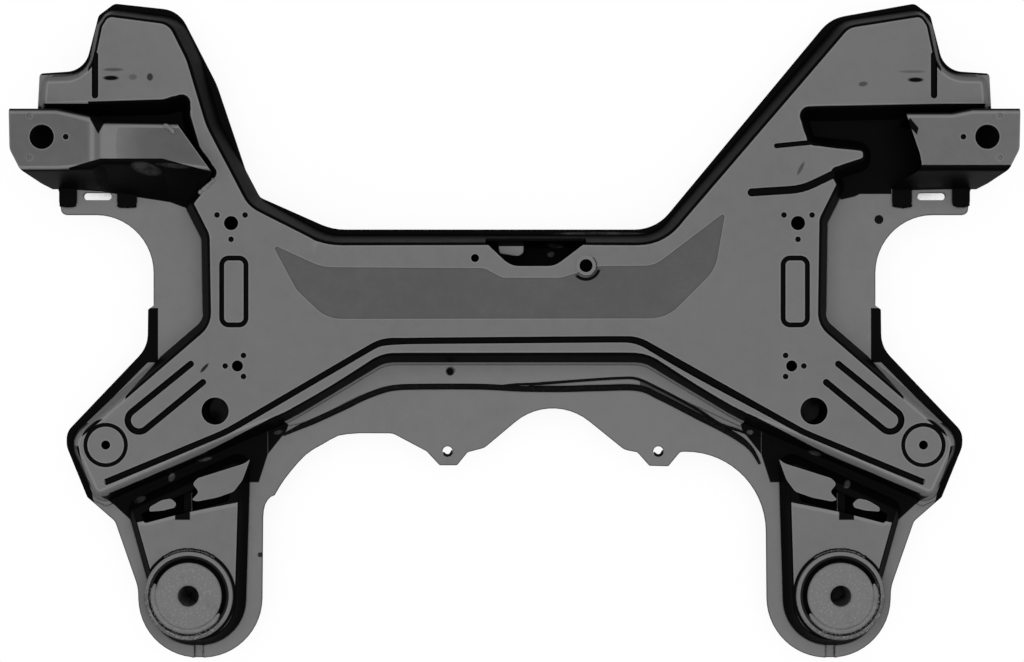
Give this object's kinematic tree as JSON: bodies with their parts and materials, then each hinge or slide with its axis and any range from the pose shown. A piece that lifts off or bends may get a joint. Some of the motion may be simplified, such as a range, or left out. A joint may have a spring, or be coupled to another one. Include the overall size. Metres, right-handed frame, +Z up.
{
  "type": "front axle subframe",
  "caption": "Pressed steel front axle subframe with a raised box section, horns that carry mounting brackets, and rubber bushes in its rear lobes.",
  "frame": {"origin": "middle of the overall outline, on the plane of the belly and the bush cups' lower ends", "axes": "+X across the car to the right of the picture, +Y towards the horns, +Z up to the visible side"},
  "size_m": [0.9898, 0.6542, 0.088],
  "materials": {
    "coated_steel": "satin dark grey to black dip coat over pressed steel",
    "coated_cup": "black dip coat on the bush cups",
    "bright_sleeve": "bare zinc plated inner sleeves",
    "disc_steel": "speckled phosphated steel disc",
    "nut_steel": "dark weld nuts",
    "bush_rubber": "matte black moulded rubber"
  },
  "bodies": {
    "root": {"upper_shell": "coated_steel", "lower_shell": "coated_steel", "pocket_tray_left": "coated_steel", "pocket_tray_right": "coated_steel", "horn_bracket_left": "coated_steel", "horn_bracket_right": "coated_steel", "bush_cup_left": "coated_cup", "bush_outer_sleeve_left": "coated_cup", "bush_inner_sleeve_left": "bright_sleeve", "bush_rubber_left": "bush_rubber", "bush_disc_left": "disc_steel", "arm_bolt_spacer_left": "coated_steel", "rack_nut_left": "nut_steel", "stay_nut_left": "nut_steel", "boss_nut_left": "nut_steel", "horn_nut_left": "nut_steel", "bush_cup_right": "coated_cup", "bush_outer_sleeve_right": "coated_cup", "bush_inner_sleeve_right": "bright_sleeve", "bush_rubber_right": "bush_rubber", "bush_disc_right": "disc_steel", "arm_bolt_spacer_right": "coated_steel", "rack_nut_right": "nut_steel", "stay_nut_right": "nut_steel", "boss_nut_right": "nut_steel", "horn_nut_right": "nut_steel", "locating_collar": "coated_steel"}
  },
  "joints": []
}
